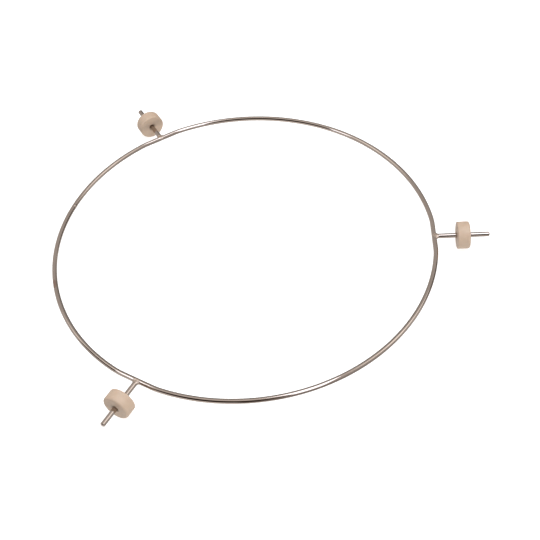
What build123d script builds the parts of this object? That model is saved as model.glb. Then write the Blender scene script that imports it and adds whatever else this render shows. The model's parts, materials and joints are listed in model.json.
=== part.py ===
from build123d import *
import math
import os

# Turntable support for a microwave oven: a wire ring with welded axle pins and free-running rollers.
# Millimetres. The origin is the ring's centre at axle height, +Z is up and +X runs out along the first pin.

# Ring of drawn wire
RING_OUTER_DIAMETER = 200.0
RING_WIRE_DIAMETER = 2.5
# The welding press sets the wire in by this depth at each pin, and this bend leads into the flat
WELD_FLAT_DEPTH = 0.55
WELD_FLAT_BEND_RADIUS = 40.0

# Axle pins, butt-welded to the outside of the ring, which their tips stand out from by the reach
PIN_COUNT = 3
PIN_DIAMETER = 2.5
PIN_REACH = 26.5
PIN_TIP_CHAMFER = 0.4
# The forged foot spreads along the wire by this fillet and lies this much below the wire's crest
WELD_FILLET_RADIUS = 1.2
WELD_CREST_STEP = 0.2

# Rollers, moulded, each turning freely on its pin and clear of the ring by the gap
ROLLER_DIAMETER = 14.0
ROLLER_WIDTH = 6.5
ROLLER_GAP = 9.75
ROLLER_OUTER_RIM_RADIUS = 1.1
ROLLER_INNER_RIM_RADIUS = 0.6
ROLLER_RUNNING_CLEARANCE = 0.1
ROLLER_MOUTH_CHAMFER = 0.7

# Angles round the foot's fillet, from the wire to the pin, where its loft has a section
FOOT_ANGLES = (0, 45, 90)

# Values that follow from the driving dimensions
wire_radius = RING_WIRE_DIAMETER / 2
ring_face_radius = RING_OUTER_DIAMETER / 2
ring_radius = ring_face_radius - wire_radius
pin_radius = PIN_DIAMETER / 2
pin_pitch_angle = 360 / PIN_COUNT
flat_radius = ring_radius - WELD_FLAT_DEPTH
wire_face_radius = flat_radius + wire_radius
tip_radius = ring_face_radius + PIN_REACH
bore_radius = pin_radius + ROLLER_RUNNING_CLEARANCE


def flat_path():
    """Half of one weld flat: the straight stretch, then the bend that meets the ring's circle."""
    bend_centre_x = flat_radius - WELD_FLAT_BEND_RADIUS
    bend_centre_distance = ring_radius - WELD_FLAT_BEND_RADIUS
    half_length = math.sqrt(bend_centre_distance**2 - bend_centre_x**2)
    bend_angle = math.degrees(math.atan2(half_length, bend_centre_x))
    straight = Line((flat_radius, 0), (flat_radius, half_length))
    bend = CenterArc((bend_centre_x, half_length), WELD_FLAT_BEND_RADIUS, 0, bend_angle)
    return straight, bend, bend_angle


def make_ring():
    """Wire ring: a round section swept along circle arcs that are pressed flat at each pin."""
    straight, bend, bend_angle = flat_path()
    arc = CenterArc((0, 0), ring_radius, bend_angle, pin_pitch_angle - 2 * bend_angle)
    leading = [straight, bend]
    trailing = [mirror(edge, about=Plane.XZ) for edge in leading]
    edges = []
    for index in range(PIN_COUNT):
        turn = Rot(0, 0, index * pin_pitch_angle)
        edges += [turn * edge for edge in leading + [arc] + trailing]
    path = Wire.combine([edge for shape in edges for edge in shape.edges()])[0]
    section = Plane(origin=path @ 0, z_dir=path % 0) * Circle(wire_radius)
    return sweep(section, path=path)


def foot_section(angle):
    """Weld foot's section at an angle round its fillet: wide and low at the wire, round at the pin."""
    along = WELD_FILLET_RADIUS * (1 - math.cos(math.radians(angle)))
    spread = WELD_FILLET_RADIUS * (1 - math.sin(math.radians(angle)))
    foot_height = wire_radius - WELD_CREST_STEP
    height = pin_radius + (foot_height - pin_radius) * (1 - along / WELD_FILLET_RADIUS)
    plane = Plane(origin=(wire_face_radius + along, 0, 0), x_dir=(0, 1, 0), z_dir=(1, 0, 0))
    return plane * Ellipse(pin_radius + spread, height)


def make_pin(ring):
    """Axle pin along +X: a plain shaft with a bevelled tip and a forged foot saddled on the ring's wire."""
    sections = [foot_section(angle) for angle in FOOT_ANGLES]
    root = extrude(sections[0], amount=-wire_radius)
    shaft_start = wire_face_radius + WELD_FILLET_RADIUS
    shaft = Plane(origin=(shaft_start, 0, 0), z_dir=(1, 0, 0)) * Cylinder(
        pin_radius, tip_radius - shaft_start, align=(Align.CENTER, Align.CENTER, Align.MIN)
    )
    tip_edge = shaft.edges().filter_by(GeomType.CIRCLE).sort_by(Axis.X)[-1]
    shaft = chamfer(tip_edge, PIN_TIP_CHAMFER)
    return root + loft(sections) + shaft - ring


def make_roller():
    """Moulded roller on +X: a plain wheel with rounded rims and a bore that opens into countersunk mouths."""
    inner_end = ring_face_radius + ROLLER_GAP
    outer_end = inner_end + ROLLER_WIDTH
    rim_radius = ROLLER_DIAMETER / 2
    mouth_radius = bore_radius + ROLLER_MOUTH_CHAMFER
    outline = Polyline(
        (inner_end + ROLLER_MOUTH_CHAMFER, bore_radius),
        (inner_end, mouth_radius),
        (inner_end, rim_radius),
        (outer_end, rim_radius),
        (outer_end, mouth_radius),
        (outer_end - ROLLER_MOUTH_CHAMFER, bore_radius),
        close=True,
    )
    profile = make_face(outline)
    rims = profile.vertices().group_by(Axis.Y)[-1].sort_by(Axis.X)
    profile = fillet(rims[0], ROLLER_INNER_RIM_RADIUS)
    rims = profile.vertices().group_by(Axis.X)[-1].sort_by(Axis.Y)
    profile = fillet(rims[-1], ROLLER_OUTER_RIM_RADIUS)
    return revolve(profile, axis=Axis.X)


def main():
    os.makedirs("parts", exist_ok=True)
    ring = make_ring()
    pin = make_pin(ring)
    roller = make_roller()
    nodes = {"support_ring": ring}
    for index in range(PIN_COUNT):
        turn = Rot(0, 0, index * pin_pitch_angle)
        nodes[f"axle_pin_{index + 1}"] = turn * pin
        nodes[f"roller_{index + 1}"] = turn * roller
    for name, shape in nodes.items():
        export_step(shape, f"parts/{name}.step")


main()
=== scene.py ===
import json
import math

import bmesh
import bpy
from bpy.props import FloatProperty, FloatVectorProperty, IntProperty, PointerProperty
from mathutils import Matrix, Vector


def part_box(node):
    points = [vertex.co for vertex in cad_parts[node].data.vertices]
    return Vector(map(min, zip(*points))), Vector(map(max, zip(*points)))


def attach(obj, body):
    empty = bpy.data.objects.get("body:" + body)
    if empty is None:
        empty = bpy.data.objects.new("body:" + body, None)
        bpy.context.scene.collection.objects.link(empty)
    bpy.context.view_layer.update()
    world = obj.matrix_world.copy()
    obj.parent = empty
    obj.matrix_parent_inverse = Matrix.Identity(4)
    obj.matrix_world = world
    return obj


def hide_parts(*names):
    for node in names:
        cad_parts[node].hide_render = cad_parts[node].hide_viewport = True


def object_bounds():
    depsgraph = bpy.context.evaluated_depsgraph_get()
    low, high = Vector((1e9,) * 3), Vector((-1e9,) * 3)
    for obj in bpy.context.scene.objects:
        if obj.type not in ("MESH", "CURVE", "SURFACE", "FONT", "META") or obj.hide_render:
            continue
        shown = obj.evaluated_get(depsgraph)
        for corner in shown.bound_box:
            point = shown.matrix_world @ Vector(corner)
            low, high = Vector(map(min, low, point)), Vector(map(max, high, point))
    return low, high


bl_info = {
    "name": "Microwave Turntable Support",
    "version": (1, 0, 0),
    "blender": (4, 5, 0),
    "location": "View3D > Sidebar > Turntable",
    "description": "Models a roller ring for a microwave oven: plated wire, welded pins and moulded rollers",
    "category": "Object",
}

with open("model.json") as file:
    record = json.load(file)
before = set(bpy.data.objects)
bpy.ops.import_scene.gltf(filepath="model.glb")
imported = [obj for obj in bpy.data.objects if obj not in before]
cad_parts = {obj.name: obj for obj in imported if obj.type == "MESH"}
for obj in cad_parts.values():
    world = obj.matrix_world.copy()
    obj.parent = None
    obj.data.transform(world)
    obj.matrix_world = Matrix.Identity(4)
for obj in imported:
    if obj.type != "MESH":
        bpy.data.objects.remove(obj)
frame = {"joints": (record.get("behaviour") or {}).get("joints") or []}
CAD_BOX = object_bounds()

MM = 0.001
# Points that lie nearer together than this count as one
TINY = 0.01 * MM
UPWARDS = Vector((0.0, 0.0, 1.0))
BACKWARDS = Vector((0.0, 1.0, 0.0))

PIN_COUNT = len(frame["joints"])
PIN_PITCH = math.tau / PIN_COUNT
PIN_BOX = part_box("axle_pin_1")
ROLLER_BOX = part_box("roller_1")
# From the ring's centre to the outer face of its wire at the first pin's weld
WIRE_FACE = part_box("support_ring")[1].x
FLOOR_HEIGHT = CAD_BOX[0].z


def linear(code):
    """The linear colour, with alpha, of an sRGB hex code."""
    channels = [int(code[place:place + 2], 16) / 255 for place in (1, 3, 5)]
    return [c / 12.92 if c <= 0.04045 else ((c + 0.055) / 1.055) ** 2.4 for c in channels] + [1.0]


def length(name, description, default):
    """A property for a length in metres."""
    return FloatProperty(name=name, description=description, default=default, unit="LENGTH", precision=5)


def point(name, description, default):
    """A property for a place in metres."""
    return FloatVectorProperty(
        name=name, description=description, default=default, subtype="TRANSLATION", unit="LENGTH", precision=5
    )


def angle(name, description, degrees):
    """A property for an angle, given in degrees."""
    return FloatProperty(name=name, description=description, default=math.radians(degrees), subtype="ANGLE")


def colour(name, description, code):
    """A property for a colour, given as an sRGB hex code."""
    return FloatVectorProperty(
        name=name, description=description, default=linear(code), size=4, subtype="COLOR", min=0.0, max=1.0
    )


def share(name, description, default):
    """A property for a number from 0 to 1."""
    return FloatProperty(
        name=name, description=description, default=default, min=0.0, max=1.0, subtype="FACTOR"
    )


def count(name, description, default):
    """A property for a whole number of mesh divisions."""
    return IntProperty(name=name, description=description, default=default, min=3)


def radiance(name, description, default):
    """A property for how brightly something shines, white being 1."""
    return FloatProperty(name=name, description=description, default=default, min=0.0)


class RingSettings(bpy.types.PropertyGroup):
    """Sizes of the wire ring."""

    diameter: length("Diameter", "Across the ring, outside to outside", 200 * MM)
    wire_diameter: length("Wire Diameter", "Thickness of the drawn wire", 2.5 * MM)
    bend_radius: length("Bend Radius", "Bend of the wire beside each weld flat", 40 * MM)
    closing_angle: angle("Closing Weld", "Where the wire's two ends are welded together", 160.5)
    closing_width: length("Closing Weld Width", "Length of wire that the closing weld takes up", 0.9 * MM)
    closing_height: length("Closing Weld Height", "How far the closing weld stands proud", 0.09 * MM)
    fleck_angle: angle("Rust Fleck", "Where the plate is broken and shows a trace of rust", 193.6)
    fleck_length: length("Rust Fleck Length", "Length of the rust along the wire", 5.0 * MM)
    sides: count("Section Sides", "Corners of the wire's round section", 40)
    step: angle("Step", "Turn of the wire from one section to the next", 1.0)


class PinSettings(bpy.types.PropertyGroup):
    """Sizes of the axle pins."""

    diameter: length("Diameter", "Thickness of the pin", 2.5 * MM)
    tip: length("Tip", "From the ring's centre to the pin's free end", PIN_BOX[1].x)
    tip_chamfer: length("Tip Chamfer", "Bevel at the pin's free end", 0.4 * MM)
    foot_fillet: length("Foot Fillet", "Radius by which the forged foot spreads along the ring", 1.2 * MM)
    crest_step: length("Crest Step", "How far the foot lies below the top of the ring's wire", 0.2 * MM)
    sides: count("Section Sides", "Corners of the pin's round section", 48)
    foot_steps: count("Foot Steps", "Sections round the foot's fillet", 10)


class RollerSettings(bpy.types.PropertyGroup):
    """Sizes of the rollers."""

    diameter: length("Diameter", "Across the rim that rolls", 2 * ROLLER_BOX[1].z)
    inner_end: length("Inner End", "From the ring's centre to the roller's inner face", ROLLER_BOX[0].x)
    outer_end: length("Outer End", "From the ring's centre to the roller's outer face", ROLLER_BOX[1].x)
    bore: length("Bore", "Diameter of the hole for the pin", 2.7 * MM)
    mouth_chamfer: length("Mouth Chamfer", "Countersink at both ends of the bore", 0.7 * MM)
    inner_rim: length("Inner Rim Radius", "Rounding of the rim towards the ring", 0.6 * MM)
    outer_rim: length("Outer Rim Radius", "Rounding of the rim away from the ring", 1.1 * MM)
    mouth_edge: length("Mouth Edge Radius", "Small rounding that the mould leaves at the mouths", 0.08 * MM)
    sides: count("Sides", "Corners round the roller", 128)
    rim_steps: count("Rim Steps", "Faces round each rim's rounding", 8)


class FinishSettings(bpy.types.PropertyGroup):
    """Colours and gloss of the surfaces."""

    plate: colour("Plate", "Bright nickel-chrome plating", "#bfb3aa")
    plate_haze: colour("Plate Haze", "Plating where it is slightly dull", "#b0a297")
    weld: colour("Weld", "Plating over the grainy weld metal", "#cbbaaa")
    rust: colour("Rust", "Trace of rust where the plate is broken", "#946a58")
    ivory: colour("Ivory", "Roller plastic", "#b49f8b")
    ivory_shade: colour("Ivory Shade", "Darker mottling of the roller plastic", "#a9937e")
    plate_roughness: share("Plate Roughness", "Blur of the plating's reflections", 0.06)
    weld_roughness: share("Weld Roughness", "Blur of reflections over the welds", 0.42)
    ivory_roughness: share("Ivory Roughness", "Roughness of the moulded plastic", 0.52)


class StageSettings(bpy.types.PropertyGroup):
    """Camera, light and floor."""

    floor: colour("Floor", "Opal acrylic under the part", "#b4b3b2")
    glow_tint: colour("Glow Tint", "Plain white of the acrylic, the cards and the diffusers", "#fcfbfa")
    floor_glow: radiance("Floor Glow", "Radiance of the acrylic's own light", 0.8)
    floor_radius: length("Floor Radius", "Flat part of the floor", 1.6)
    cove_radius: length("Cove Radius", "Curve from floor to wall", 0.5)
    wall_height: length("Wall Height", "Height of the wall", 1.4)
    flag_reach: length("Flag Reach", "From the ring's centre forwards to the dark flag", 112 * MM)
    flag_shift: length("Flag Shift", "How far the dark flag lies to the right", 136 * MM)
    flag_size: length("Flag Size", "Length of the dark flag's sides", 280 * MM)
    side_flag_place: point("Side Flag Place", "Middle of the small flag", (-146 * MM, -76 * MM, 60 * MM))
    side_flag_size: length("Side Flag Size", "Length of the small flag's sides", 66 * MM)
    azimuth: angle("Camera Azimuth", "Turn of the camera round the part", 4.06)
    elevation: angle("Camera Elevation", "Height of the camera above the floor's plane", 48.4)
    roll: angle("Camera Roll", "Tilt of the camera about its line of sight", -5.31)
    distance: length("Camera Distance", "From the aim point to the camera", 562.7 * MM)
    aim: point("Aim", "Point in the middle of the picture", (13.49 * MM, -18.79 * MM, 0.0))
    lens: FloatProperty(
        name="Lens", description="Focal length in millimetres", default=73.87, min=1.0, unit="CAMERA"
    )
    key: radiance("Key Light", "Radiance of the long strip overhead", 2.5)
    key_tint: colour("Key Tint", "Cool white of both strips", "#e4edff")
    fill: radiance("Fill Light", "Radiance that the side lights are set by", 1.06)
    overhead: radiance("Overhead Light", "Radiance of the diffuser overhead", 2.4)
    front: radiance("Front Light", "Radiance of the low diffuser in front", 2.9)
    below: radiance("Floor Light", "Radiance of the lamps under the floor", 0.5)
    bounce: radiance("Bounce", "Radiance of the floor in reflections", 0.76)
    ceiling: radiance("Ceiling", "Brightness of the ceiling, that of the walls being 1", 1.6)
    studio: colour("Studio", "Pale surroundings", "#cfcbc9")
    studio_dark: colour("Dark Studio", "Unlit surroundings behind the camera", "#3a2b22")


def start_piece(add_primitive, name, **settings):
    """Adds a primitive with nothing else selected, names it and opens it in edit mode, all of it selected."""
    bpy.ops.object.select_all(action="DESELECT")
    add_primitive(**settings)
    piece = bpy.context.object
    piece.name = name
    bpy.ops.object.mode_set(mode="EDIT")
    bpy.ops.mesh.select_mode(type="VERT")
    bpy.ops.mesh.select_all(action="SELECT")
    return piece


def select_where(piece, kind, test):
    """Selects the verts, edges or faces in edit mode whose corners all stand where a test allows."""
    bpy.ops.mesh.select_mode(type={"verts": "VERT", "edges": "EDGE", "faces": "FACE"}[kind])
    bpy.ops.mesh.select_all(action="DESELECT")
    mesh = bmesh.from_edit_mesh(piece.data)
    for element in getattr(mesh, kind):
        corners = [element] if kind == "verts" else element.verts
        element.select_set(all(test(piece.matrix_world @ corner.co) for corner in corners))
    mesh.select_flush_mode()
    bmesh.update_edit_mesh(piece.data)


def extrude(vector):
    """Extrudes the selected loop along a vector."""
    bpy.ops.mesh.extrude_region_move(TRANSFORM_OT_translate={"value": vector})


def spin(centre, turn, step):
    """Spins the selected loop anticlockwise, seen from above, about an upright axis."""
    bpy.ops.mesh.spin(steps=max(1, round(turn / step)), angle=-turn, center=centre, axis=UPWARDS)


def close_mesh():
    """Merges the doubles of the whole mesh and turns its faces outwards."""
    bpy.ops.mesh.select_all(action="SELECT")
    bpy.ops.mesh.remove_doubles(threshold=TINY)
    bpy.ops.mesh.normals_make_consistent(inside=False)


def finish_piece(piece, sharp_degrees):
    """Leaves edit mode, puts the piece's place into its mesh and smooths its rounded faces."""
    bpy.ops.object.mode_set(mode="OBJECT")
    bpy.ops.object.transform_apply(location=True, rotation=True, scale=True)
    bpy.ops.object.shade_smooth_by_angle(angle=math.radians(sharp_degrees))
    piece.data.name = piece.name


def apply_modifier(piece, kind, **settings):
    """Adds a modifier to the active piece, sets it up and applies it."""
    bpy.ops.object.modifier_add(type=kind)
    modifier = piece.modifiers[-1]
    for name, value in settings.items():
        setattr(modifier, name, value)
    bpy.ops.object.modifier_apply(modifier=modifier.name)


def copy_round(first, name):
    """Copies the first pin's piece to the other pins, each copy with its own mesh, and gives all of them."""
    pieces = [first]
    for index in range(1, PIN_COUNT):
        bpy.ops.object.select_all(action="DESELECT")
        first.select_set(True)
        bpy.context.view_layer.objects.active = first
        bpy.ops.object.duplicate(linked=False)
        copy = bpy.context.object
        copy.name = f"{name}_{index + 1}"
        copy.data.name = copy.name
        copy.rotation_euler.z = index * PIN_PITCH
        bpy.ops.object.transform_apply(location=False, rotation=True, scale=False)
        pieces.append(copy)
    return pieces


def stand_for(piece, node, body):
    """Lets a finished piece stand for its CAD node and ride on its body."""
    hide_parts(node)
    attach(piece, body)


def new_material(name):
    """A material with an empty node tree."""
    material = bpy.data.materials.new(name)
    material.use_nodes = True
    material.node_tree.nodes.clear()
    return material


def add_node(tree, kind, inputs=None, **settings):
    """Adds a node, sets its properties, and sets or links its inputs, each named by place or identifier."""
    node = tree.nodes.new(kind)
    for name, value in settings.items():
        setattr(node, name, value)
    sockets = {socket.identifier: socket for socket in node.inputs}
    sockets.update(enumerate(node.inputs))
    for key, value in (inputs or {}).items():
        if isinstance(value, bpy.types.NodeSocket):
            tree.links.new(value, sockets[key])
        else:
            sockets[key].default_value = value
    return node


def plated_wire(name, finish, along_pin, fleck=None):
    """Bright nickel-chrome plate on drawn steel wire: a warm mirror, hazy in places, lined along its length.

    At each weld the plate lies over grainy forged metal, which gives the eye a dull beige patch. A fleck,
    given by its two ends, is a place where the plate is broken and the steel shows a trace of rust.
    """
    material = new_material(name)
    tree = material.node_tree
    place = add_node(tree, "ShaderNodeTexCoord").outputs["Object"]
    axes = add_node(tree, "ShaderNodeSeparateXYZ", {"Vector": place}).outputs

    # Distance from the ring's centre, and arc length from the nearest pin's line
    half_pitch = PIN_PITCH / 2
    plan = add_node(tree, "ShaderNodeCombineXYZ", {"X": axes["X"], "Y": axes["Y"]}).outputs["Vector"]
    reach = add_node(tree, "ShaderNodeVectorMath", {0: plan}, operation="LENGTH").outputs["Value"]
    bearing = add_node(tree, "ShaderNodeMath", {0: axes["Y"], 1: axes["X"]}, operation="ARCTAN2").outputs[0]
    folding = {0: bearing, 1: half_pitch, 2: -half_pitch}
    turn = add_node(tree, "ShaderNodeMath", folding, operation="WRAP").outputs[0]
    arc = add_node(tree, "ShaderNodeMath", {0: reach, 1: turn}, operation="MULTIPLY").outputs[0]

    # Drawing lines 0.2 mm apart and 15 mm long, coarser than real ones so that they show
    line_gap, line_length = 0.2 * MM, 15 * MM
    across, along = (arc, reach) if along_pin else (reach, arc)
    stretching = {0: along, 1: line_gap / line_length}
    slow = add_node(tree, "ShaderNodeMath", stretching, operation="MULTIPLY").outputs[0]
    streaks = add_node(tree, "ShaderNodeCombineXYZ", {"X": across, "Y": axes["Z"], "Z": slow})
    drawing = {"Vector": streaks.outputs["Vector"], "Scale": 1 / line_gap, "Detail": 2.0}
    lines = add_node(tree, "ShaderNodeTexNoise", drawing).outputs["Fac"]

    # The weld patch lies about the joint, just under the wire's face, and fades out with a frayed edge
    joint_depth, patch_full, patch_end, fray = 0.6 * MM, 1.3 * MM, 2.4 * MM, 1.0 * MM
    folded = add_node(tree, "ShaderNodeCombineXYZ", {"X": reach, "Y": arc, "Z": axes["Z"]})
    joint = {0: folded.outputs["Vector"], 1: (WIRE_FACE - joint_depth, 0.0, 0.0)}
    away = add_node(tree, "ShaderNodeVectorMath", joint, operation="DISTANCE").outputs["Value"]
    fraying = {"Vector": place, "Scale": 1 / fray, "Detail": 1.0}
    tatters = add_node(tree, "ShaderNodeTexNoise", fraying).outputs["Fac"]
    frayed = {0: tatters, 1: fray, 2: away}
    edge = add_node(tree, "ShaderNodeMath", frayed, operation="MULTIPLY_ADD").outputs[0]
    fade = {
        "Value": edge,
        "From Min": patch_full + fray / 2,
        "From Max": patch_end + fray / 2,
        "To Min": 1.0,
        "To Max": 0.0,
    }
    weld = add_node(tree, "ShaderNodeMapRange", fade, interpolation_type="SMOOTHSTEP").outputs["Result"]

    # Colour: clear plate, haze in patches of 6 mm, then the weld patch
    haze_size = 6 * MM
    hazing = {"Vector": place, "Scale": 1 / haze_size, "Detail": 3.0}
    haze = add_node(tree, "ShaderNodeTexNoise", hazing).outputs["Fac"]
    clear = {"Factor_Float": haze, "A_Color": finish.plate, "B_Color": finish.plate_haze}
    plate = add_node(tree, "ShaderNodeMix", clear, data_type="RGBA").outputs[2]
    dull = {"Factor_Float": weld, "A_Color": plate, "B_Color": finish.weld}
    base = add_node(tree, "ShaderNodeMix", dull, data_type="RGBA").outputs[2]

    # Rust lies where the distances from the fleck's two ends add up to hardly more than its length
    if fleck:
        rust_cover, rust_spread = 0.55, 1.25
        gaps = [
            add_node(tree, "ShaderNodeVectorMath", {0: place, 1: end}, operation="DISTANCE").outputs["Value"]
            for end in fleck
        ]
        both = add_node(tree, "ShaderNodeMath", dict(enumerate(gaps)), operation="ADD").outputs[0]
        shortest = (fleck[1] - fleck[0]).length
        ebbing = {
            "Value": both,
            "From Min": shortest,
            "From Max": rust_spread * shortest,
            "To Min": rust_cover,
            "To Max": 0.0,
        }
        broken = add_node(tree, "ShaderNodeMapRange", ebbing).outputs["Result"]
        rusty = {"Factor_Float": broken, "A_Color": base, "B_Color": finish.rust}
        base = add_node(tree, "ShaderNodeMix", rusty, data_type="RGBA").outputs[2]

    # Gloss: the haze blurs the mirror a little more or less, and the weld patch is satin
    blur_swing = 0.3
    blurring = {
        "Value": haze,
        "To Min": (1 - blur_swing) * finish.plate_roughness,
        "To Max": (1 + blur_swing) * finish.plate_roughness,
    }
    blur = add_node(tree, "ShaderNodeMapRange", blurring).outputs["Result"]
    satin = {"Factor_Float": weld, "A_Float": blur, "B_Float": finish.weld_roughness}
    roughness = add_node(tree, "ShaderNodeMix", satin, data_type="FLOAT").outputs[0]

    # Relief: drawing lines half a micrometre deep, and weld grain of 0.35 mm
    line_depth, grain_size, grain_depth = 0.0005 * MM, 0.35 * MM, 0.08 * MM
    forging = {"Vector": place, "Scale": 1 / grain_size, "Detail": 2.0}
    grain = add_node(tree, "ShaderNodeTexNoise", forging).outputs["Fac"]
    lumps = add_node(tree, "ShaderNodeMath", {0: grain, 1: weld}, operation="MULTIPLY").outputs[0]
    deep = add_node(tree, "ShaderNodeMath", {0: lumps, 1: grain_depth}, operation="MULTIPLY").outputs[0]
    relief = {0: lines, 1: line_depth, 2: deep}
    height = add_node(tree, "ShaderNodeMath", relief, operation="MULTIPLY_ADD").outputs[0]
    bump = add_node(tree, "ShaderNodeBump", {"Height": height, "Distance": 1.0, "Strength": 1.0})

    skin = {"Base Color": base, "Metallic": 1.0, "Roughness": roughness, "Normal": bump.outputs["Normal"]}
    shader = add_node(tree, "ShaderNodeBsdfPrincipled", skin)
    add_node(tree, "ShaderNodeOutputMaterial", {"Surface": shader.outputs["BSDF"]})
    return material


def moulded_ivory(name, finish):
    """Natural polyphenylene sulphide, moulded: opaque warm ivory, faintly mottled, with a fine matt skin."""
    material = new_material(name)
    tree = material.node_tree
    place = add_node(tree, "ShaderNodeTexCoord").outputs["Object"]

    # Flow mottling in clouds of 2.5 mm, in colour and gloss
    mottle_size, gloss_swing = 2.5 * MM, 0.06
    flowing = {"Vector": place, "Scale": 1 / mottle_size, "Detail": 4.0}
    mottle = add_node(tree, "ShaderNodeTexNoise", flowing).outputs["Fac"]
    tones = {"Factor_Float": mottle, "A_Color": finish.ivory, "B_Color": finish.ivory_shade}
    base = add_node(tree, "ShaderNodeMix", tones, data_type="RGBA").outputs[2]
    gloss = {
        "Value": mottle,
        "To Min": finish.ivory_roughness - gloss_swing,
        "To Max": finish.ivory_roughness + gloss_swing,
    }
    roughness = add_node(tree, "ShaderNodeMapRange", gloss).outputs["Result"]

    # Mould grain of 0.3 mm, coarser than the real spark-eroded skin so that it shows
    grain_size, grain_depth = 0.3 * MM, 0.02 * MM
    eroding = {"Vector": place, "Scale": 1 / grain_size, "Detail": 2.0}
    grain = add_node(tree, "ShaderNodeTexNoise", eroding).outputs["Fac"]
    bump = add_node(tree, "ShaderNodeBump", {"Height": grain, "Distance": grain_depth, "Strength": 0.4})

    # A little light spreads under the skin, red furthest
    shader = add_node(tree, "ShaderNodeBsdfPrincipled", {
        "Base Color": base,
        "Roughness": roughness,
        "IOR": 1.6,
        "Subsurface Weight": 0.12,
        "Subsurface Radius": (1.0, 0.6, 0.4),
        "Subsurface Scale": 0.8 * MM,
        "Normal": bump.outputs["Normal"],
    })
    add_node(tree, "ShaderNodeOutputMaterial", {"Surface": shader.outputs["BSDF"]})
    return material


def backlit_acrylic(name, stage):
    """Opal acrylic over lamps, as on a light table: matt, faintly cloudy, too bright for shadows to show."""
    material = new_material(name)
    tree = material.node_tree
    place = add_node(tree, "ShaderNodeTexCoord").outputs["Object"]

    # Clouds of 40 mm, a little darker than the rest
    cloud_size, cloud_tone = 40 * MM, 0.97
    clouding = {"Vector": place, "Scale": 1 / cloud_size, "Detail": 3.0}
    clouds = add_node(tree, "ShaderNodeTexNoise", clouding).outputs["Fac"]
    darker = [cloud_tone * channel for channel in stage.floor[:3]] + [1.0]
    tones = {"Factor_Float": clouds, "A_Color": stage.floor, "B_Color": darker}
    base = add_node(tree, "ShaderNodeMix", tones, data_type="RGBA").outputs[2]

    shader = add_node(tree, "ShaderNodeBsdfPrincipled", {
        "Base Color": base,
        "Roughness": 1.0,
        "Specular IOR Level": 0.0,
        "Emission Color": stage.glow_tint,
        "Emission Strength": stage.floor_glow,
    })
    add_node(tree, "ShaderNodeOutputMaterial", {"Surface": shader.outputs["BSDF"]})
    return material


def dark_felt(name, stage):
    """Wool felt, dyed dark brown: it swallows nearly all light and never shines."""
    material = new_material(name)
    tree = material.node_tree
    matt = {"Base Color": stage.studio_dark, "Roughness": 1.0, "Specular IOR Level": 0.0}
    shader = add_node(tree, "ShaderNodeBsdfPrincipled", matt)
    add_node(tree, "ShaderNodeOutputMaterial", {"Surface": shader.outputs["BSDF"]})
    return material


def raise_closing_weld(ring, sizes, ring_radius):
    """Cuts loops across the wire where its ends meet, then swells them into a low bead."""
    outwards = Vector((math.cos(sizes.closing_angle), math.sin(sizes.closing_angle), 0.0))
    along = Vector((-outwards.y, outwards.x, 0.0))
    middle = ring_radius * outwards
    nearby = 2 * sizes.wire_diameter
    # Where the loops lie, as parts of the bead's width, from its edges inwards
    stations = (-0.5, 0.5, -0.25, 0.25, 0.0)
    for station in stations:
        select_where(ring, "faces", lambda corner: (corner - middle).length < nearby)
        bpy.ops.mesh.bisect(plane_co=middle + along * station * sizes.closing_width, plane_no=along)
    for station in stations:
        loop = middle + along * station * sizes.closing_width
        select_where(
            ring, "edges",
            lambda corner: (corner - loop).length < nearby and abs((corner - loop).dot(along)) < TINY,
        )
        bpy.ops.transform.shrink_fatten(value=sizes.closing_height * math.cos(station * math.pi) ** 2)


class TURNTABLE_OT_wire_ring(bpy.types.Operator):
    """Bends the ring from one wire, weld flat by weld flat, and closes it"""

    bl_idname = "turntable.wire_ring"
    bl_label = "Wire Ring"

    def execute(self, context):
        sizes = context.scene.turntable_ring
        wire_radius = sizes.wire_diameter / 2
        ring_radius = sizes.diameter / 2 - wire_radius
        flat_radius = WIRE_FACE - wire_radius

        # A weld flat is straight for half its length on each side, then a bend runs into the ring's circle
        bend_x = flat_radius - sizes.bend_radius
        half_flat = math.sqrt((ring_radius - sizes.bend_radius) ** 2 - bend_x ** 2)
        bend_turn = math.atan2(half_flat, bend_x)
        ring = start_piece(
            bpy.ops.mesh.primitive_circle_add, "plated_ring", vertices=sizes.sides, radius=wire_radius,
            location=(flat_radius, 0.0, 0.0), rotation=(math.pi / 2, 0.0, 0.0),
        )
        for index in range(PIN_COUNT):
            here = Matrix.Rotation(index * PIN_PITCH, 3, "Z")
            there = Matrix.Rotation((index + 1) * PIN_PITCH, 3, "Z")
            extrude(here @ Vector((0.0, half_flat, 0.0)))
            spin(here @ Vector((bend_x, half_flat, 0.0)), bend_turn, sizes.step)
            spin(Vector(), PIN_PITCH - 2 * bend_turn, sizes.step)
            spin(there @ Vector((bend_x, -half_flat, 0.0)), bend_turn, sizes.step)
            extrude(there @ Vector((0.0, half_flat, 0.0)))
        close_mesh()
        if not all(edge.is_manifold for edge in bmesh.from_edit_mesh(ring.data).edges):
            raise RuntimeError("the ring's ends don't meet")
        raise_closing_weld(ring, sizes, ring_radius)
        finish_piece(ring, sharp_degrees=60)

        # The fleck lies on the wire's upper outside
        to_fleck = Matrix.Rotation(sizes.fleck_angle, 3, "Z")
        fleck_radius = ring_radius + wire_radius / 2
        half_fleck = sizes.fleck_length / 2
        fleck = [to_fleck @ Vector((fleck_radius, end, wire_radius)) for end in (-half_fleck, half_fleck)]
        finish = context.scene.turntable_finish
        plate = plated_wire(
            "Nickel-chrome plate on the ring's drawn wire", finish, along_pin=False, fleck=fleck
        )
        ring.data.materials.append(plate)
        stand_for(ring, "support_ring", "frame")
        return {"FINISHED"}


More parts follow.
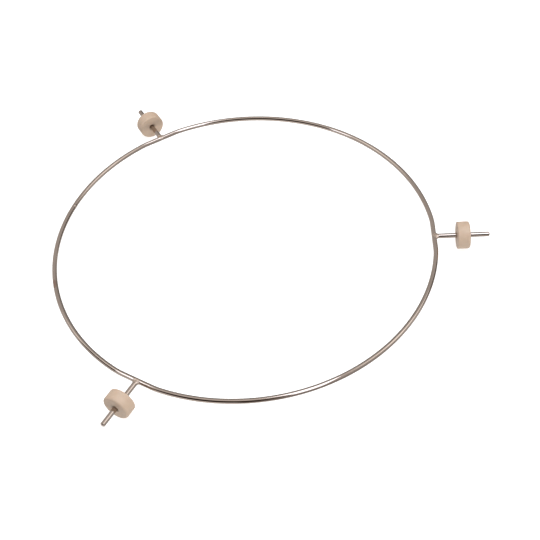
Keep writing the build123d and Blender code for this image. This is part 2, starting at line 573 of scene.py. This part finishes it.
def pin_stations(sizes, flat_radius, wire_radius):
    """Where the pin's sections stand, from its tip to its root: reach, half width and half height of each."""
    radius = sizes.diameter / 2
    tip_face = radius - sizes.tip_chamfer
    stations = [(sizes.tip, tip_face, tip_face), (sizes.tip - sizes.tip_chamfer, radius, radius)]
    foot_height = wire_radius - sizes.crest_step
    for step in range(sizes.foot_steps + 1):
        round_fillet = math.pi / 2 * (1 - step / sizes.foot_steps)
        along = 1 - math.cos(round_fillet)
        spread = sizes.foot_fillet * (1 - math.sin(round_fillet))
        height = foot_height + (radius - foot_height) * along
        stations.append((WIRE_FACE + sizes.foot_fillet * along, radius + spread, height))
    return stations + [(flat_radius, *stations[-1][1:])]


class TURNTABLE_OT_axle_pins(bpy.types.Operator):
    """Draws one axle pin from its tip to its forged foot, seats it on the ring's wire and copies it round"""

    bl_idname = "turntable.axle_pins"
    bl_label = "Axle Pins"

    def execute(self, context):
        sizes = context.scene.turntable_pin
        wire_radius = context.scene.turntable_ring.wire_diameter / 2
        flat_radius = WIRE_FACE - wire_radius
        stations = pin_stations(sizes, flat_radius, wire_radius)
        pin = start_piece(
            bpy.ops.mesh.primitive_circle_add, "plated_pin_1", vertices=sizes.sides, radius=stations[0][1],
            location=(stations[0][0], 0.0, 0.0), rotation=(0.0, math.pi / 2, 0.0),
        )
        for (reach, width, height), (next_reach, next_width, next_height) in zip(stations, stations[1:]):
            extrude(Vector((next_reach - reach, 0.0, 0.0)))
            scale = (1.0, next_width / width, next_height / height)
            bpy.ops.transform.resize(value=scale, center_override=(next_reach, 0.0, 0.0))
        bpy.ops.mesh.fill_grid(span=sizes.sides // 4)
        select_where(pin, "edges", lambda corner: corner.x > sizes.tip - TINY)
        bpy.ops.mesh.edge_face_add()
        close_mesh()

        # The grid that closes the root is bent to the ring's wire
        select_where(pin, "verts", lambda corner: corner.x < flat_radius + TINY)
        bpy.ops.object.vertex_group_assign_new()
        finish_piece(pin, sharp_degrees=35)
        apply_modifier(
            pin, "SHRINKWRAP", target=bpy.data.objects["plated_ring"], wrap_method="PROJECT",
            use_project_x=True, vertex_group=pin.vertex_groups[0].name,
        )
        pin.vertex_groups.clear()
        apply_modifier(pin, "WEIGHTED_NORMAL", keep_sharp=True)

        finish = context.scene.turntable_finish
        plate = plated_wire("Nickel-chrome plate on the pins' drawn wire", finish, along_pin=True)
        pin.data.materials.append(plate)
        for number, piece in enumerate(copy_round(pin, "plated_pin"), 1):
            stand_for(piece, f"axle_pin_{number}", "frame")
        return {"FINISHED"}


def open_bore(roller, sizes):
    """Sinks a mouth into both end faces and joins the two through the roller."""
    bore = sizes.bore / 2
    mouth = bore + sizes.mouth_chamfer
    narrowing = bore / mouth
    for end, inwards in ((sizes.inner_end, 1), (sizes.outer_end, -1)):
        select_where(roller, "faces", lambda corner: abs(corner.x - end) < TINY)
        bpy.ops.mesh.inset(thickness=sizes.diameter / 2 - mouth)
        extrude(Vector((inwards * sizes.mouth_chamfer, 0.0, 0.0)))
        bpy.ops.transform.resize(value=(1.0, narrowing, narrowing), center_override=(end, 0.0, 0.0))
        bpy.ops.mesh.delete(type="ONLY_FACE")
    select_where(roller, "edges", lambda corner: math.hypot(corner.y, corner.z) < bore + TINY)
    bpy.ops.mesh.bridge_edge_loops()


def round_edges(roller, sizes):
    """Rounds both rims and the edges of both mouths."""
    rim = sizes.diameter / 2
    mouth = sizes.bore / 2 + sizes.mouth_chamfer
    mouth_steps = 2
    for end, rim_radius in ((sizes.inner_end, sizes.inner_rim), (sizes.outer_end, sizes.outer_rim)):
        roundings = ((rim, rim_radius, sizes.rim_steps), (mouth, sizes.mouth_edge, mouth_steps))
        for edge, offset, steps in roundings:
            select_where(
                roller, "edges",
                lambda corner: abs(corner.x - end) < TINY and abs(math.hypot(*corner.yz) - edge) < TINY,
            )
            bpy.ops.mesh.bevel(
                offset=offset, offset_type="OFFSET", segments=steps, profile=0.5, affect="EDGES"
            )


class TURNTABLE_OT_rollers(bpy.types.Operator):
    """Turns one roller from a blank, opens its bore, rounds its rims and copies it round"""

    bl_idname = "turntable.rollers"
    bl_label = "Rollers"

    def execute(self, context):
        sizes = context.scene.turntable_roller
        centre = (sizes.inner_end + sizes.outer_end) / 2
        roller = start_piece(
            bpy.ops.mesh.primitive_cylinder_add, "moulded_roller_1", vertices=sizes.sides,
            radius=sizes.diameter / 2, depth=sizes.outer_end - sizes.inner_end,
            location=(centre, 0.0, 0.0), rotation=(0.0, math.pi / 2, 0.0),
        )
        open_bore(roller, sizes)
        round_edges(roller, sizes)
        close_mesh()
        finish_piece(roller, sharp_degrees=30)
        apply_modifier(roller, "WEIGHTED_NORMAL", keep_sharp=True)
        ivory = moulded_ivory("Natural ivory plastic, moulded", context.scene.turntable_finish)
        roller.data.materials.append(ivory)
        for number, piece in enumerate(copy_round(roller, "moulded_roller"), 1):
            stand_for(piece, f"roller_{number}", f"roller_{number}")
        return {"FINISHED"}


def add_sweep(stage):
    """A round pale floor and the wall that it curves up into, which only the camera sees."""
    floor_sides, cove_steps = 96, 12
    acrylic = backlit_acrylic("Opal acrylic, lit from behind", stage)
    floor = start_piece(
        bpy.ops.mesh.primitive_circle_add, "acrylic_floor", vertices=floor_sides, radius=stage.floor_radius,
        fill_type="NGON", location=(0.0, 0.0, FLOOR_HEIGHT),
    )
    finish_piece(floor, sharp_degrees=30)
    wall = start_piece(
        bpy.ops.mesh.primitive_circle_add, "acrylic_wall", vertices=floor_sides, radius=stage.floor_radius,
        location=(0.0, 0.0, FLOOR_HEIGHT),
    )
    radius, height = stage.floor_radius, 0.0
    for step in range(1, cove_steps + 1):
        turn = math.pi / 2 * step / cove_steps
        next_radius = stage.floor_radius + stage.cove_radius * math.sin(turn)
        next_height = stage.cove_radius * (1 - math.cos(turn))
        extrude(Vector((0.0, 0.0, next_height - height)))
        widening = (next_radius / radius, next_radius / radius, 1.0)
        bpy.ops.transform.resize(value=widening, center_override=(0.0, 0.0, FLOOR_HEIGHT + next_height))
        radius, height = next_radius, next_height
    extrude(Vector((0.0, 0.0, stage.wall_height - height)))
    finish_piece(wall, sharp_degrees=60)
    for piece in (floor, wall):
        piece.data.materials.append(acrylic)
        piece.visible_glossy = False
        piece.visible_diffuse = False
        piece.visible_shadow = False


def add_flag(name, felt, size, place, facing):
    """A square of dark felt, which only shows as the line of shade that it mirrors in the wire."""
    turn = facing.to_track_quat("Z", "Y").to_euler()
    flag = start_piece(bpy.ops.mesh.primitive_plane_add, name, size=size, location=place, rotation=turn)
    finish_piece(flag, sharp_degrees=30)
    flag.data.materials.append(felt)
    flag.visible_camera = False
    flag.visible_diffuse = False
    flag.visible_shadow = False


def add_flags(stage):
    """One flag on the floor in front, and a small one that stands to the left of the near pin."""
    felt = dark_felt("Dark felt", stage)
    ahead = Vector((stage.flag_shift, -stage.flag_reach - stage.flag_size / 2, FLOOR_HEIGHT + TINY))
    add_flag("felt_floor_flag", felt, stage.flag_size, ahead, facing=UPWARDS)
    beside = Vector(stage.side_flag_place)
    add_flag("felt_side_flag", felt, stage.side_flag_size, beside, facing=-beside)


def towards(azimuth, elevation):
    """A direction from the ring's centre, both angles in degrees."""
    azimuth, elevation = math.radians(azimuth), math.radians(elevation)
    return Vector((
        math.cos(azimuth) * math.cos(elevation), math.sin(azimuth) * math.cos(elevation), math.sin(elevation)
    ))


def add_studio(stage):
    """Surroundings that the plating mirrors: a pale room with unlit places, over a bright floor."""
    world = bpy.data.worlds.new("Pale studio")
    bpy.context.scene.world = world
    world.use_nodes = True
    tree = world.node_tree
    tree.nodes.clear()
    way = add_node(tree, "ShaderNodeTexCoord").outputs["Generated"]
    height = add_node(tree, "ShaderNodeSeparateXYZ", {"Vector": way}).outputs["Z"]

    # Layers over the room's own tone, the ceiling and the floor first: a measure, its values where the layer
    # starts and where it is full, then the layer's colour and radiance
    layers = [
        (height, 0.8, 1.0, stage.studio, stage.ceiling),
        (height, -0.02, -0.14, stage.glow_tint, stage.bounce),
    ]

    # Round patches about a direction, full within one angle and gone beyond another, both in degrees: the
    # floor on the right and on the left, the back wall, then unlit places behind the camera and at the right
    patches = (
        (towards(325, -25), 14, 38, stage.glow_tint, 0.6 * stage.bounce),
        (towards(235, -48), 18, 40, stage.glow_tint, 1.5 * stage.bounce),
        (towards(85, 0), 22, 46, stage.studio, 0.45),
        (towards(252, 33), 23, 42, stage.studio_dark, 1.0),
        (towards(26, 4), 10, 23, stage.studio_dark, 1.0),
    )
    for middle, core, rim, tint, level in patches:
        facing = add_node(tree, "ShaderNodeVectorMath", {0: way, 1: middle}, operation="DOT_PRODUCT")
        start, full = math.cos(math.radians(rim)), math.cos(math.radians(core))
        layers.append((facing.outputs["Value"], start, full, tint, level))

    tone = stage.studio
    for measure, start, full, tint, level in layers:
        rise = {"Value": measure, "From Min": start, "From Max": full}
        cover = add_node(tree, "ShaderNodeMapRange", rise, interpolation_type="SMOOTHSTEP").outputs["Result"]
        lit = [level * channel for channel in tint[:3]] + [1.0]
        tones = {"Factor_Float": cover, "A_Color": tone, "B_Color": lit}
        tone = add_node(tree, "ShaderNodeMix", tones, data_type="RGBA").outputs[2]
    background = add_node(tree, "ShaderNodeBackground", {"Color": tone, "Strength": 1.0})
    add_node(tree, "ShaderNodeOutputWorld", {"Surface": background.outputs["Background"]})


def add_softbox(name, way, distance, size, level, tint, long_side=UPWARDS, mirrored=True):
    """A rectangular light that faces the ring's centre, and that shows in the plating if it is mirrored."""
    side = long_side.cross(way).normalized()
    turn = Matrix((side, way.cross(side), way)).transposed()
    bpy.ops.object.light_add(type="AREA", location=distance * way, rotation=turn.to_euler())
    light = bpy.context.object
    light.name = name
    light.data.shape = "RECTANGLE"
    light.data.size, light.data.size_y = size
    # An area light's power is four times its radiance and area
    light.data.energy = level * 4 * size[0] * size[1]
    light.data.color = tint[:3]
    light.visible_camera = False
    light.visible_glossy = mirrored


def add_lights(stage):
    """Strips and cards that draw the bright lines along the wire, and diffusers that light the rollers."""
    cool, plain = stage.key_tint, stage.glow_tint

    # The long strip gives the highlights at the near right and the far left, the cards those at both sides,
    # and the short strip the glint to the left of the near pin
    add_softbox(
        "key_strip", way=towards(313.5, 64.5), distance=1.9, size=(0.52, 2.5), level=stage.key, tint=cool,
        long_side=towards(113, 0),
    )
    add_softbox(
        "left_card", way=towards(170, 48), distance=1.6, size=(0.75, 0.9), level=0.85 * stage.fill, tint=plain
    )
    add_softbox(
        "left_strip", way=towards(198.4, 46.7), distance=0.59, size=(0.085, 0.4), level=2.0 * stage.fill,
        tint=cool, long_side=towards(57, 35),
    )
    add_softbox(
        "right_card", way=towards(8, 48), distance=1.6, size=(0.85, 0.9), level=0.95 * stage.fill, tint=plain
    )

    # The diffusers light the rollers from above, in front and below
    add_softbox(
        "overhead_softbox", way=towards(0, 90), distance=1.8, size=(1.6, 1.6), level=stage.overhead,
        tint=plain, long_side=BACKWARDS, mirrored=False,
    )
    add_softbox(
        "front_softbox", way=towards(306, -8), distance=1.5, size=(1.6, 0.6), level=stage.front, tint=plain,
        mirrored=False,
    )
    add_softbox(
        "floor_softbox", way=towards(0, -90), distance=0.4, size=(1.8, 1.8), level=stage.below, tint=plain,
        long_side=BACKWARDS, mirrored=False,
    )


def add_camera(stage):
    """The photograph's camera."""
    turn = (
        Matrix.Rotation(stage.azimuth, 3, "Z")
        @ Matrix.Rotation(math.pi / 2 - stage.elevation, 3, "X")
        @ Matrix.Rotation(stage.roll, 3, "Z")
    )
    place = Vector(stage.aim) + stage.distance * turn.col[2]
    bpy.ops.object.camera_add(location=place, rotation=turn.to_euler())
    camera = bpy.context.object
    camera.name = "photo_camera"
    camera.data.lens = stage.lens
    bpy.context.scene.camera = camera


class TURNTABLE_OT_stage(bpy.types.Operator):
    """Lays the floor, hangs the lights and sets up the camera"""

    bl_idname = "turntable.stage"
    bl_label = "Stage"

    def execute(self, context):
        stage = context.scene.turntable_stage
        add_sweep(stage)
        add_flags(stage)
        add_studio(stage)
        add_lights(stage)
        add_camera(stage)
        context.scene.view_settings.view_transform = "Standard"
        return {"FINISHED"}


SETTINGS = {
    "turntable_ring": RingSettings,
    "turntable_pin": PinSettings,
    "turntable_roller": RollerSettings,
    "turntable_finish": FinishSettings,
    "turntable_stage": StageSettings,
}
STEPS = (TURNTABLE_OT_wire_ring, TURNTABLE_OT_axle_pins, TURNTABLE_OT_rollers, TURNTABLE_OT_stage)


class TURNTABLE_PT_sidebar(bpy.types.Panel):
    """Lists the building steps and their settings"""

    bl_idname = "TURNTABLE_PT_sidebar"
    bl_label = "Turntable Support"
    bl_space_type = "VIEW_3D"
    bl_region_type = "UI"
    bl_category = "Turntable"

    def draw(self, context):
        for step in STEPS:
            self.layout.operator(step.bl_idname)
        for pointer, group in SETTINGS.items():
            box = self.layout.box()
            for name in group.__annotations__:
                box.prop(getattr(context.scene, pointer), name)


CLASSES = (*SETTINGS.values(), *STEPS, TURNTABLE_PT_sidebar)


def register():
    """Registers the classes and hangs the settings on the scene."""
    for each in CLASSES:
        bpy.utils.register_class(each)
    for pointer, group in SETTINGS.items():
        setattr(bpy.types.Scene, pointer, PointerProperty(type=group))


def unregister():
    """Takes the settings off the scene and unregisters the classes."""
    for pointer in SETTINGS:
        delattr(bpy.types.Scene, pointer)
    for each in reversed(CLASSES):
        bpy.utils.unregister_class(each)


def main():
    """Builds every piece and the stage."""
    register()
    bpy.ops.turntable.wire_ring()
    bpy.ops.turntable.axle_pins()
    bpy.ops.turntable.rollers()
    bpy.ops.turntable.stage()


if __name__ == "__main__":
    main()
